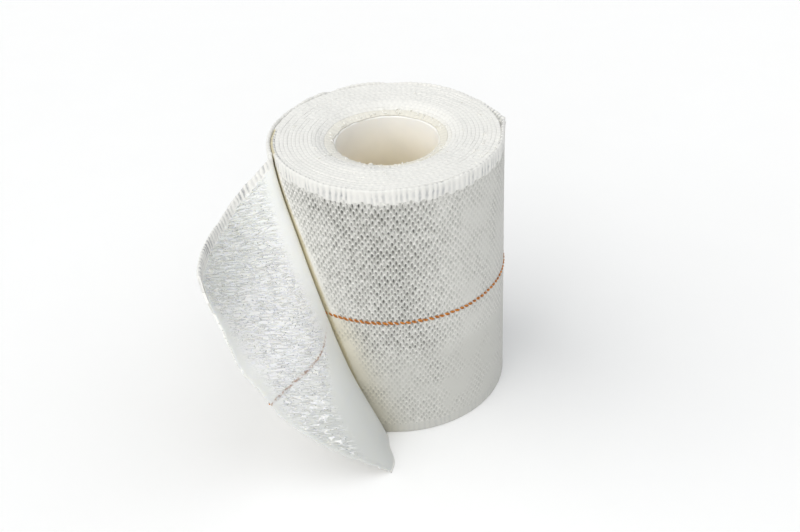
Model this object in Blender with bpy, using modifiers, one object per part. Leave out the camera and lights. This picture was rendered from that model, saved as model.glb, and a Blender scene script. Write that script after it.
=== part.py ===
"""A roll of elastic adhesive bandage standing on its end, its outer turn peeled open.

The web is wound on a thin core. The outermost turn runs counterclockwise, seen from above.
It lies on the roll as far as a slanting line and peels outward from there, so that the side
with the adhesive faces forward. The front is -Y, and the base lies on z = 0.
"""

import math
from collections import namedtuple

import bmesh
import bpy
from mathutils import Vector

# The web, a stretch fabric with a coat of adhesive
WEB_WIDTH = 0.075
WEB_THICKNESS = 0.001
PIECE_GAP = 0.0003

# The wound roll, whose radius grows by one turn of the web between the two sides of its step
ROLL_AXIS = (0.00712, 0.01041)
STEP_ANGLE = 165.0
STEP_SPAN = 0.4
START_RADIUS = 0.0292
TURN_PITCH = WEB_THICKNESS + PIECE_GAP
BASE_ROUNDING = 0.0006
RIM_ROUNDING = 0.0009
DISH_WIDTH = 0.0050
DISH_DEPTH = 0.0014
SECTIONS = 120

# The core, a thin tube that ends a little below the web's edge
CORE_RADIUS = 0.0131
CORE_WALL = 0.0010
CORE_BASE = 0.0004
CORE_TOP = 0.0728
CORE_ROUNDING = 0.0003
CORE_STEPS = 72

# Edges that turn more than this many degrees stay sharp in the shading
SHARP_ANGLE = 50

# The loose end, from the step to its cut edge, measured along the web
LOOSE_LENGTH = 0.0645
LAID_STATIONS = 14
FREE_STATIONS = 26
LOOSE_ROWS = 24
# The stations of the free stretch crowd towards the peel line, where it turns most
STATION_POWER = 1.6

# How the loose end leaves the roll, row by row from the base up. leaves is the angle round
# the roll where the row peels off. turns is how far it has turned outward from the roll's
# tangent, and slopes how steeply it falls, at four stations from the peel line to the cut.
PeelRow = namedtuple("PeelRow", "height leaves turns slopes")
PEEL_ROWS = (
    PeelRow(height=0.000, leaves=254, turns=(-2, 70, 59, 105), slopes=(0, 0, 0, 0)),
    PeelRow(height=0.015, leaves=245, turns=(27, 68, 85, 95), slopes=(7, 11, 16, 19)),
    PeelRow(height=0.030, leaves=236, turns=(52, 73, 112, 104), slopes=(18, 22, 24, 25)),
    PeelRow(height=0.045, leaves=226, turns=(58, 59, 93, 85), slopes=(21, 20, 17, 17)),
    PeelRow(height=0.060, leaves=214, turns=(86, 57, 53, 43), slopes=(31, 17, 7, 3)),
    PeelRow(height=0.075, leaves=194, turns=(81, 39, 23, 5), slopes=(38, 15, -4, -4)),
)


def clear_scene():
    for item in list(bpy.data.objects):
        bpy.data.objects.remove(item, do_unlink=True)


def make_material(name, color, roughness):
    material = bpy.data.materials.new(name)
    material.use_nodes = True
    shader = material.node_tree.nodes["Principled BSDF"]
    shader.inputs["Base Color"].default_value = (*color, 1.0)
    shader.inputs["Roughness"].default_value = roughness
    shader.inputs["Metallic"].default_value = 0.0
    return material


def add_object(name, mesh, collection, material):
    item = bpy.data.objects.new(name, mesh)
    item.data.materials.append(material)
    collection.objects.link(item)
    return item


def shade_round(mesh):
    mesh.shade_smooth()
    mesh.set_sharp_from_angle(angle=math.radians(SHARP_ANGLE))


def loft(name, sections, closed):
    """A mesh through equal rows of points. closed joins each row, and the rows, end to start.

    An open one whose rows run counterclockwise and rise from the base faces outward.
    """
    mesh = bpy.data.meshes.new(name)
    shape = bmesh.new()
    grid = [[shape.verts.new(point) for point in section] for section in sections]
    rows, columns = len(grid), len(grid[0])
    for row in range(rows if closed else rows - 1):
        lower, upper = grid[row], grid[(row + 1) % rows]
        for column in range(columns if closed else columns - 1):
            following = (column + 1) % columns
            shape.faces.new((lower[column], lower[following], upper[following], upper[column]))
    if closed:
        bmesh.ops.recalc_face_normals(shape, faces=shape.faces)
    shape.to_mesh(mesh)
    shape.free()
    return mesh


def roll_radius(angle):
    """The wound roll's radius at an angle in degrees, counted up from the step."""
    return START_RADIUS + TURN_PITCH * (angle - STEP_ANGLE) / 360.0


def around(angle, radius, height):
    """The point at this angle in degrees, distance from the roll's axis and height."""
    turn = math.radians(angle)
    return Vector((
        ROLL_AXIS[0] + radius * math.cos(turn),
        ROLL_AXIS[1] + radius * math.sin(turn),
        height,
    ))


def roll_section(radius):
    """The cut through one side of the roll, as distances from the axis and heights."""
    bore = CORE_RADIUS + CORE_WALL + PIECE_GAP
    slack = 1.0 - math.sqrt(0.5)
    return (
        (bore, BASE_ROUNDING),
        (bore + BASE_ROUNDING, 0.0),
        (radius - BASE_ROUNDING, 0.0),
        (radius - slack * BASE_ROUNDING, slack * BASE_ROUNDING),
        (radius, BASE_ROUNDING),
        (radius, WEB_WIDTH - RIM_ROUNDING),
        (radius - slack * RIM_ROUNDING, WEB_WIDTH - slack * RIM_ROUNDING),
        (radius - RIM_ROUNDING, WEB_WIDTH),
        (bore + DISH_WIDTH, WEB_WIDTH),
        (bore + DISH_WIDTH / 3.0, WEB_WIDTH - DISH_DEPTH / 2.0),
        (bore, WEB_WIDTH - DISH_DEPTH),
    )


def make_wound_roll(collection):
    """All the turns but the loose end, as one ring with a step one turn high."""
    sections = []
    for index in range(SECTIONS):
        angle = STEP_ANGLE + (360.0 - STEP_SPAN) * index / (SECTIONS - 1)
        outline = roll_section(roll_radius(angle))
        sections.append([around(angle, radius, height) for radius, height in outline])
    mesh = loft("wound_roll", sections, closed=True)
    shade_round(mesh)
    cloth = make_material("knitted_web", (0.80, 0.80, 0.77), 0.9)
    return add_object("wound_roll", mesh, collection, cloth)


def make_core(collection):
    """A tube turned about the roll's axis, with its four edges eased."""
    inner, outer = CORE_RADIUS, CORE_RADIUS + CORE_WALL
    ease = CORE_ROUNDING
    profile = (
        (outer, CORE_TOP - ease),
        (outer, CORE_BASE + ease),
        (outer - ease, CORE_BASE),
        (inner + ease, CORE_BASE),
        (inner, CORE_BASE + ease),
        (inner, CORE_TOP - ease),
        (inner + ease, CORE_TOP),
        (outer - ease, CORE_TOP),
    )
    mesh = bpy.data.meshes.new("core")
    shape = bmesh.new()
    points = [shape.verts.new((radius, 0.0, height)) for radius, height in profile]
    for index, point in enumerate(points):
        shape.edges.new((point, points[(index + 1) % len(points)]))
    shape.to_mesh(mesh)
    shape.free()
    plastic = make_material("core_plastic", (0.82, 0.79, 0.72), 0.45)
    core = add_object("core", mesh, collection, plastic)
    core.location = (*ROLL_AXIS, 0.0)
    turned = core.modifiers.new("turned", "SCREW")
    turned.steps = CORE_STEPS
    turned.render_steps = CORE_STEPS
    turned.use_merge_vertices = True
    turned.merge_threshold = 0.00005
    turned.use_smooth_shade = True
    return core


def smooth_between(values, place):
    """The value at a place from 0 to len(values) - 1 on a smooth curve through the values."""
    last = len(values) - 1
    index = min(int(place), last - 1)
    share = place - index
    here, ahead = values[index], values[index + 1]
    before = values[index - 1] if index > 0 else 2 * here - ahead
    after = values[index + 2] if index + 2 <= last else 2 * ahead - here
    leave = (ahead - before) / 2
    arrive = (after - here) / 2
    rise = ahead - here
    return (
        here
        + leave * share
        + (3 * rise - 2 * leave - arrive) * share**2
        + (leave + arrive - 2 * rise) * share**3
    )


def row_at(height):
    """The peel's values at any height, read smoothly from the rows above and below it."""
    place = (len(PEEL_ROWS) - 1) * height / WEB_WIDTH
    leaves = smooth_between([row.leaves for row in PEEL_ROWS], place)
    stations = range(len(PEEL_ROWS[0].turns))
    turns = [0.0]
    slopes = [0.0]
    for station in stations:
        turns.append(smooth_between([row.turns[station] for row in PEEL_ROWS], place))
        slopes.append(smooth_between([row.slopes[station] for row in PEEL_ROWS], place))
    return leaves, turns, slopes


def heading(leaves, turns, slopes, share):
    """The direction in which the web runs, at a share of the stations of its free stretch."""
    place = share * (len(turns) - 1)
    plan = math.radians(leaves + 90.0 - smooth_between(turns, place))
    fall = math.radians(smooth_between(slopes, place))
    level = math.cos(fall)
    return Vector((math.cos(plan) * level, math.sin(plan) * level, -math.sin(fall)))


def loose_row(height):
    """Points along the loose end's adhesive side, from the step to the cut edge."""
    leaves, turns, slopes = row_at(height)
    gap_angle = math.degrees(PIECE_GAP / START_RADIUS)
    begins = STEP_ANGLE + gap_angle
    points = []
    for station in range(LAID_STATIONS):
        angle = begins + (leaves - begins) * station / (LAID_STATIONS - 1)
        points.append(around(angle, roll_radius(angle) + PIECE_GAP, height))
    laid_length = math.radians(leaves - begins) * roll_radius(leaves)
    free_length = LOOSE_LENGTH - laid_length
    place = points[-1]
    direction = heading(leaves, turns, slopes, 0.0)
    reached = 0.0
    for station in range(1, FREE_STATIONS + 1):
        share = station / FREE_STATIONS
        following = heading(leaves, turns, slopes, share)
        length = share**STATION_POWER * free_length
        place = place + (direction + following) / 2 * (length - reached)
        points.append(place)
        direction = following
        reached = length
    return points


def thicken(sheet, thickness):
    """Bake an open sheet's thickness onto the side that it faces."""
    solidify = sheet.modifiers.new("thickness", "SOLIDIFY")
    solidify.thickness = thickness
    solidify.offset = 1.0
    solidify.use_even_offset = True
    graph = bpy.context.evaluated_depsgraph_get()
    solid = bpy.data.meshes.new_from_object(sheet.evaluated_get(graph))
    sheet.modifiers.remove(solidify)
    sheet.data = solid
    return solid


def make_loose_end(collection):
    """The last stretch of web, laid on the roll and then peeled outward to its cut edge."""
    heights = [WEB_WIDTH * row / LOOSE_ROWS for row in range(LOOSE_ROWS + 1)]
    adhesive_side = loft("adhesive_side", [loose_row(height) for height in heights], closed=False)
    adhesive = make_material("adhesive_web", (0.84, 0.84, 0.82), 0.8)
    loose_end = add_object("loose_end", adhesive_side, collection, adhesive)
    mesh = thicken(loose_end, WEB_THICKNESS)
    # The lower edge leans where the web slopes, and is pressed flat where it rests
    for point in mesh.vertices:
        point.co.z = max(point.co.z, 0.0)
    shade_round(mesh)
    return loose_end


def main():
    clear_scene()
    collection = bpy.data.collections.new("bandage_roll")
    bpy.context.scene.collection.children.link(collection)
    make_wound_roll(collection)
    make_core(collection)
    make_loose_end(collection)


main()
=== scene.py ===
import math
from functools import partial

import bmesh
import bpy
import numpy as np
from mathutils import Matrix, Quaternion, Vector


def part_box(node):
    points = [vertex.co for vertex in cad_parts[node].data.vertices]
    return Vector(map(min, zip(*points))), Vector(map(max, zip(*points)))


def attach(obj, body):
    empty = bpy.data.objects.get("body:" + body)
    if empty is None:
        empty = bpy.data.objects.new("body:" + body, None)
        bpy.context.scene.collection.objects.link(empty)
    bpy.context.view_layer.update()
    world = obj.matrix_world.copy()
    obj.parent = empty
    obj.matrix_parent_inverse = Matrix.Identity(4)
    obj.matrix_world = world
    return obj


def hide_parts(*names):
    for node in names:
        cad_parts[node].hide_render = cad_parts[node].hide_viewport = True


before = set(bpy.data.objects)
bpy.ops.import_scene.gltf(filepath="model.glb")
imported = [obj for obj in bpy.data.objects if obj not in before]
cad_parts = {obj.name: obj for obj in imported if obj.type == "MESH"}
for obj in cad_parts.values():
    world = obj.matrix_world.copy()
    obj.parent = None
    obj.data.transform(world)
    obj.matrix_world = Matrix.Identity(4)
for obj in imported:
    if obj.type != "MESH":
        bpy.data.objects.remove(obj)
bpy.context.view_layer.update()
mm = 0.001

# The roll's axis and width, read from the frame's own nodes
coreLow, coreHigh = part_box("core")
rollLow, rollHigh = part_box("wound_roll")
axisX = (coreLow.x + coreHigh.x) / 2
axisY = (coreLow.y + coreHigh.y) / 2

# The bandage web: a crepe knit of cotton with an adhesive coat on its inner side
web = {
    "width": rollHigh.z - rollLow.z,
    "thickness": 0.8 * mm,         # without the stitches that stand proud of it
    "edgeBand": 3.0 * mm,          # the whipped edge at both sides
    "stitchesAlong": 45,           # stitches along the loose end
    "stitchRows": 66,              # rows of stitches between the two whipped edges
    "looseLength": 64.5 * mm,      # from the step in the roll to the cut edge
    "stepAngle": 165.6,            # where the loose end begins, in degrees round the roll
    "stepRadius": 29.5 * mm,       # of the adhesive side there
    "turnPitch": 1.3 * mm,         # how much the outer turn's radius grows in one turn
    "firstStitch": -125,           # where the outer turn comes out from under the loose end
    "backStitch": -27,             # the outer turn is two pieces that meet here, at the back
    "stationPower": 1.6,           # the stations crowd towards the peel line
    "threadAcross": 36.7 * mm,     # the marking thread runs along the middle
}
stitchWidth = web["looseLength"] / web["stitchesAlong"]
stitchHeight = (web["width"] - 2 * web["edgeBand"]) / web["stitchRows"]

# How the loose end leaves the roll, a row for each height in mm: the angle round the roll where
# it peels off, then its outward turn and its fall at four stations from there to the cut edge
peelRows = (
    {"height": 0, "leaves": 254, "turns": (-2, 70, 59, 105), "falls": (0, 0, 0, 0)},
    {"height": 15, "leaves": 245, "turns": (27, 68, 85, 95), "falls": (7, 11, 16, 19)},
    {"height": 30, "leaves": 236, "turns": (52, 73, 112, 104), "falls": (18, 22, 24, 25)},
    {"height": 45, "leaves": 226, "turns": (58, 59, 93, 85), "falls": (21, 20, 17, 17)},
    {"height": 60, "leaves": 214, "turns": (86, 57, 53, 43), "falls": (31, 17, 7, 3)},
    {"height": 75, "leaves": 194, "turns": (81, 39, 23, 5), "falls": (38, 15, -4, -4)},
)


def smoothBetween(values, place):
    # Reads a smooth curve through the values at places from 0 to len(values) - 1
    values = np.asarray(values, float)
    place = np.asarray(place, float)
    last = len(values) - 1
    index = np.clip(place.astype(int), 0, last - 1)
    share = place - index
    padded = np.concatenate([[2 * values[0] - values[1]], values, [2 * values[-1] - values[-2]]])
    before, here, ahead, after = (padded[index + step] for step in range(4))
    leave = (ahead - before) / 2
    arrive = (after - here) / 2
    rise = ahead - here
    return (here + leave * share + (3 * rise - 2 * leave - arrive) * share**2
            + (leave + arrive - 2 * rise) * share**3)


def patchNoise(x, y, size, seed):
    # Smooth noise from -1 to 1 whose patches are about size across
    grid = np.random.default_rng(seed).uniform(-1, 1, (128, 128))
    x, y = np.broadcast_arrays(np.asarray(x, float) / size, np.asarray(y, float) / size)
    cellX = np.floor(x).astype(int)
    cellY = np.floor(y).astype(int)
    shareX = x - cellX
    shareY = y - cellY
    shareX = shareX * shareX * (3 - 2 * shareX)
    shareY = shareY * shareY * (3 - 2 * shareY)
    corner = [[grid[(cellX + stepX) % 128, (cellY + stepY) % 128] for stepY in (0, 1)] for stepX in (0, 1)]
    low = corner[0][0] * (1 - shareX) + corner[1][0] * shareX
    high = corner[0][1] * (1 - shareX) + corner[1][1] * shareX
    return low * (1 - shareY) + high * shareY


def easeBetween(value, low, high):
    share = np.clip((value - low) / (high - low), 0, 1)
    return share * share * (3 - 2 * share)


def zigzag(place):
    # 1 at whole numbers, -1 halfway between them, straight in between
    return 1 - 4 * np.abs(np.asarray(place) - np.rint(place))


# The adhesive side of the outer web is worked out once, on a fine net of distances along and across
stepTurn = web["stepAngle"] + 360
netStart = (web["firstStitch"] - 8) * stitchWidth
netAlong = np.linspace(netStart, web["looseLength"] + 2 * mm, 1040)
netAcross = np.linspace(0, web["width"], 101)
layAngles = np.linspace(130, 650, 1041)


def adhesiveRadius(angle):
    return web["stepRadius"] + web["turnPitch"] * (angle - stepTurn) / 360


def aroundAxis(angle, radius, height):
    turn = np.radians(angle)
    x, y = axisX + radius * np.cos(turn), axisY + radius * np.sin(turn)
    return np.stack(np.broadcast_arrays(x, y, height), -1)


layLengths = np.radians(layAngles - stepTurn) * (adhesiveRadius(layAngles) + web["stepRadius"]) / 2


def netRow(across):
    place = across / web["width"] * (len(peelRows) - 1)
    leaves = float(smoothBetween([row["leaves"] for row in peelRows], place)) + 360
    turns = [0.0]
    falls = [0.0]
    for station in range(4):
        turns.append(float(smoothBetween([row["turns"][station] for row in peelRows], place)))
        falls.append(float(smoothBetween([row["falls"][station] for row in peelRows], place)))
    leaveAt = float(np.interp(leaves, layAngles, layLengths))
    freeLength = web["looseLength"] - leaveAt
    # The free stretch turns and falls step by step, a little past the cut
    share = np.linspace(0, 1.06, 425)
    station = np.minimum(share ** (1 / web["stationPower"]), 1) * 4
    plan = np.radians(leaves + 90 - smoothBetween(turns, station))
    fall = np.radians(smoothBetween(falls, station))
    heading = np.stack([np.cos(plan) * np.cos(fall), np.sin(plan) * np.cos(fall), -np.sin(fall)], -1)
    strides = (heading[1:] + heading[:-1]) / 2 * (share[1] * freeLength)
    path = np.concatenate([np.zeros((1, 3)), np.cumsum(strides, axis=0)])
    path += aroundAxis(leaves, adhesiveRadius(leaves), across)
    angles = np.interp(netAlong, layLengths, layAngles)
    points = aroundAxis(angles, adhesiveRadius(angles), across)
    free = netAlong > leaveAt
    for axis in range(3):
        points[free, axis] = np.interp((netAlong[free] - leaveAt) / freeLength, share, path[:, axis])
    return points, leaveAt


netRows = [netRow(across) for across in netAcross]
netPoints = np.stack([points for points, leaveAt in netRows], axis=1)
peelAlong = np.array([leaveAt for points, leaveAt in netRows])
netNormals = np.cross(np.gradient(netPoints, axis=0), np.gradient(netPoints, axis=1))
netNormals /= np.linalg.norm(netNormals, axis=-1, keepdims=True)


def readNet(net, along, across):
    placeX = np.clip((along - netStart) / (netAlong[1] - netAlong[0]), 0, len(netAlong) - 1.001)
    placeY = np.clip(across / (netAcross[1] - netAcross[0]), 0, len(netAcross) - 1.001)
    cellX = placeX.astype(int)
    cellY = placeY.astype(int)
    shareX = (placeX - cellX)[..., None]
    shareY = (placeY - cellY)[..., None]
    low = net[cellX, cellY] * (1 - shareX) + net[cellX + 1, cellY] * shareX
    high = net[cellX, cellY + 1] * (1 - shareX) + net[cellX + 1, cellY + 1] * shareX
    return low * (1 - shareY) + high * shareY


def webAt(along, across, lift):
    # Points this far along and across the outer web, lifted off its adhesive side towards the knit
    along, across, lift = np.broadcast_arrays(along, across, lift)
    normals = readNet(netNormals, along, across)
    normals = normals / np.linalg.norm(normals, axis=-1, keepdims=True)
    points = readNet(netPoints, along, across)
    points[..., 2] += across - np.clip(across, 0, web["width"])    # past an edge the web goes straight on
    return points + normals * lift[..., None]


def linear(hexText):
    parts = [int(hexText[place:place + 2], 16) / 255 for place in (1, 3, 5)]
    return (*[part / 12.92 if part <= 0.04045 else ((part + 0.055) / 1.055) ** 2.4 for part in parts], 1.0)


def addNode(tree, kind, inputs=(), **settings):
    # One node with its settings. Inputs are given in order or by name, each as a value, a hex colour or
    # the output that feeds it.
    node = tree.nodes.new("ShaderNode" + kind)
    for name, value in settings.items():
        setattr(node, name, value)
    for name, value in inputs.items() if isinstance(inputs, dict) else enumerate(inputs):
        if isinstance(value, bpy.types.NodeSocket):
            tree.links.new(value, node.inputs[name])
        else:
            node.inputs[name].default_value = linear(value) if isinstance(value, str) else value
    return node.outputs


# Settings that many nodes share
smooth = {"interpolation_type": "SMOOTHSTEP"}
colors = {"data_type": "RGBA"}
tinting = {"data_type": "RGBA", "blend_type": "MULTIPLY"}
onWeb = {"noise_dimensions": "2D"}


def newMaterial(name, settings):
    # A new material, and addNode made ready for its tree
    material = bpy.data.materials.new(name)
    material.use_nodes = True
    shader = material.node_tree.nodes["Principled BSDF"]
    for key, value in settings.items():
        shader.inputs[key].default_value = value
    return material, partial(addNode, material.node_tree)


def finishMaterial(material, color, height=None, strength=1.0, relief=0.0):
    # Gives the shader its colour, and its height as a bump that is relief metres deep
    tree = material.node_tree
    shader = tree.nodes["Principled BSDF"]
    tree.links.new(color, shader.inputs["Base Color"])
    if height is not None:
        bump = addNode(tree, "Bump", {"Height": height, "Strength": strength, "Distance": relief})[0]
        tree.links.new(bump, shader.inputs["Normal"])
    return material


def showPiece(name, mesh, materials):
    piece = bpy.data.objects.new(name, mesh)
    bpy.context.scene.collection.objects.link(piece)
    for material in materials:
        mesh.materials.append(material)
    return piece


# Bleached cotton crepe knit. It reads as soft off-white yarn, quite dull, whose stitches stand as
# slanting legs with a hole under each pair, darkened with painted shade. One stitch is 1.43 mm wide and
# a row 1.05 mm high. Its two edges are whipped with a strand for each stitch.
knitLook = {
    "yarn": "#FAF9F5",
    # painted shade on the ground between the legs, and on pressed and whipped stretches
    "paintedGroundShade": "#B2B2AC",
    # painted shade in the holes beneath the legs
    "paintedHoleShade": "#32322F",
    # warm tint: adhesive residue, and beside the peel line painted warm bounce light and shade
    "warm": "#DCCFA0",
    "strandGapShade": "#A2A4A7",     # painted shade between the strands of a whipped edge
    "legRise": 0.45,           # how far a leg rises and falls, in rows
    "legWidth": (0.02, 0.39),  # from full yarn on its middle to none, in rows
    "legShows": (-0.45, 0.70),           # from its foot, where it is lost, to its peak
    "holeStart": (0.18, 0.42),           # below a peak, in rows
    "holeEnd": (0.80, 1.65),
    "holeShows": (0.16, 0.85),           # a hole is widest right under a peak
    "strandGap": (0.16, 0.42),           # from a strand to the gap beside it, in stitches
    "wander": (0.34, 0.62),    # how far the threads wander, in stitches and rows
    "wanderSize": 0.9 * mm,
    "uneven": (0.50, 1.05),    # how much of the ground and the holes shows
    "unevenSize": 1.2 * mm,
    "relief": 0.24 * mm,
    "fibreSize": 0.16 * mm,
}


def makeKnitMaterial():
    material, add = newMaterial("bleachedCottonKnit", {
        "Roughness": 0.93,
        "Sheen Weight": 0.2,
        "Sheen Roughness": 0.6,
        "Specular IOR Level": 0.15,
    })
    # weave holds the stitch, the row, and 0 in the knit or 1 and more in a whipped edge, where what passes 1
    # is the depth of the painted shade in the gaps between strands.
    # tint holds how warm the web is (adhesive residue, and beside the peel line painted warm bounce light and
    # shade), how far its pattern is pressed flat, and how much painted shade the ground carries there.
    place = add("TexCoord")["Object"]
    wander = add("TexNoise", {"Vector": place, "Scale": 1 / knitLook["wanderSize"], "Detail": 1.0})["Color"]
    offMiddle = add("VectorMath", (wander, (-0.5, -0.5, -0.5)))[0]
    weaveVector = add("Attribute", attribute_name="weave")["Vector"]
    wandered = add("VectorMath", (offMiddle, (*knitLook["wander"], 0.0), weaveVector),
                   operation="MULTIPLY_ADD")[0]
    weave = add("SeparateXYZ", (wandered,))
    tint = add("SeparateXYZ", (add("Attribute", attribute_name="tint")["Vector"],))
    # The swing of the even rows, 1 at a peak and -1 in a valley
    bend = add("Math", (weave["X"], 0.5), operation="PINGPONG")[0]
    swing = add("Math", (bend, -4.0, 1.0), operation="MULTIPLY_ADD")[0]
    rise = add("Math", (swing, knitLook["legRise"]), operation="MULTIPLY")[0]
    legs = []
    paintedHoleShade = []
    # The even rows, then the odd rows, which are half a stitch aside and so swing the other way
    for operation, first, sign in (("SUBTRACT", 0.0, 1.0), ("ADD", 1.0, -1.0)):
        rowPlace = add("Math", (weave["Y"], rise), operation=operation)[0]
        near = add("Math", (rowPlace, 1.0), operation="PINGPONG")[0]
        away = add("Math", (near, sign, first), operation="MULTIPLY_ADD")[0]
        leg = add("MapRange", (away, *knitLook["legWidth"], 1.0, 0.0), **smooth)[0]
        foot, peak = knitLook["legShows"]
        shows = add("MapRange", (swing, foot * sign, peak * sign), **smooth)[0]
        legs.append(add("Math", (leg, shows), operation="MULTIPLY")[0])
        # A hole's painted shade is taller than wide, and fades downward
        peakLine = add("Math", (rise, sign, first), operation="MULTIPLY_ADD")[0]
        below = add("Math", (peakLine, weave["Y"]), operation="SUBTRACT")[0]
        rowsDown = add("Math", (below, 2.0, 0.0), operation="WRAP")[0]
        start = add("MapRange", (rowsDown, *knitLook["holeStart"]), **smooth)[0]
        end = add("MapRange", (rowsDown, *knitLook["holeEnd"], 1.0, 0.0), **smooth)[0]
        edge, middle = knitLook["holeShows"]
        under = add("MapRange", (swing, edge * sign, middle * sign), **smooth)[0]
        slot = add("Math", (start, end), operation="MULTIPLY")[0]
        paintedHoleShade.append(add("Math", (slot, under), operation="MULTIPLY")[0])
    leg = add("Math", legs, operation="MAXIMUM")[0]
    hole = add("Math", paintedHoleShade, operation="MAXIMUM")[0]
    fibres = add("TexNoise", {"Vector": place, "Scale": 1 / knitLook["fibreSize"], "Detail": 2.0})[0]
    patches = add("TexNoise", {"Vector": place, "Scale": 1 / knitLook["unevenSize"], "Detail": 2.0})[0]
    uneven = add("MapRange", (patches, 0.32, 0.68, *knitLook["uneven"]))[0]
    # Where the pattern is pressed flat the ground's painted shade lies in one even tone
    field = add("Math", (weave["Z"], 0.5), operation="LESS_THAN")[0]
    opened = add("Math", (1.0, tint["Y"]), operation="SUBTRACT")[0]
    openField = add("Math", (opened, field), operation="MULTIPLY")[0]
    bare = add("Math", (1.0, leg), operation="SUBTRACT")[0]
    bareUneven = add("Math", (bare, uneven), operation="MULTIPLY")[0]
    ground = add("Mix", {"Factor": opened, "A": tint["Z"], "B": bareUneven})["Result"]
    # In a whipped edge the tint gives how much painted ground shade lies on the strands
    groundHere = add("Mix", {"Factor": field, "A": tint["Y"], "B": ground})["Result"]
    legHere = add("Math", (leg, openField), operation="MULTIPLY")[0]
    holeUneven = add("Math", (hole, uneven), operation="MULTIPLY", use_clamp=True)[0]
    holeHere = add("Math", (holeUneven, openField), operation="MULTIPLY")[0]
    # The whipped edges: 0 on the middle of a strand and 1 in the gap beside it, which gets painted shade
    strand = add("MapRange", (bend, *knitLook["strandGap"]), **smooth)[0]
    gapDepth = add("Math", (weave["Z"], 1.0), operation="SUBTRACT", use_clamp=True)[0]
    gap = add("Math", (strand, gapDepth), operation="MULTIPLY")[0]
    gapUneven = add("Math", (gap, uneven), operation="MULTIPLY", use_clamp=True)[0]
    color = knitLook["yarn"]
    for share, tone in ((groundHere, "paintedGroundShade"), (holeHere, "paintedHoleShade"), (gapUneven, "strandGapShade")):
        color = add("Mix", {0: share, 6: color, 7: knitLook[tone]}, **colors)[2]
    # A warm tint: adhesive residue, and beside the peel line painted warm bounce light and shade
    color = add("Mix", {0: tint["X"], 6: color, 7: knitLook["warm"]}, **tinting)[2]
    fuzz = add("Math", (fibres, 0.25), operation="MULTIPLY")[0]
    raised = add("Math", (gap, -0.5, fuzz), operation="MULTIPLY_ADD")[0]
    height = add("Math", (legHere, raised), operation="ADD")[0]
    return finishMaterial(material, color, height, 0.9, knitLook["relief"])


# Zinc oxide adhesive coat, spread over the same crepe. It reads as milky white and faintly glossy. The grey
# in its creases is painted shade and the white on its crests a painted highlight. The creases are about 4 mm
# long and 1.15 mm apart.
coatLook = {
    "coat": "#F2F3F0",
    "hollows": "#FFFFFF",      # the ground between the crests where it is creased
    # painted highlight on the crests
    "paintedCrestHighlight": "#FFFFFF",
    # painted shade in the creases
    "creases": "#D6D8D7",
    "specks": "#AAACAB",
    "highTone": "#EBEDEB",     # a little greyer towards the upper edge
    "highRange": (54.0, 68.0),           # height in mm
    "paintedLowShade": "#D4D6D4",      # painted shade: the coat is greyer towards the lower corner
    "lowRange": (48.0, 22.0),            # height in mm
    # warm tint in the fold: adhesive, and painted warm bounce light and shade from the gap
    "warm": "#D9CF92",
    "thread": "#B39584",       # the marking thread where it shows through
    "threadHalf": 0.75,        # in mm
    "creaseLength": 4.0,       # in mm
    "creasePitch": 1.15,       # in mm
    "creaseSlant": 1.3,        # they run at a slant, so they are this much longer than they reach across
    "crestWidth": (0.012, 0.060),        # from the noise's middle value
    "creaseAt": 0.095,         # from there too
    "creaseWidth": 0.040,
    # Patches that are creased less, broken crests, pinholes, and breaks in the thread's line: the size in mm,
    # the detail, the noise's range and what it becomes
    "noises": {
        "patches": (3.5714, 1.0, 0.35, 0.65, 0.60, 1.0),
        "dashes": (1.5, 1.0, 0.40, 0.58, 0.25, 1.0),
        "pinholes": (0.45, 0.0, 0.76, 0.84, 0.0, 1.0),
        "breaks": (0.9, 1.0, 0.42, 0.62, 0.15, 1.0),
    },
    "relief": 0.09 * mm,
    "grainSize": 0.25 * mm,
}


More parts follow.
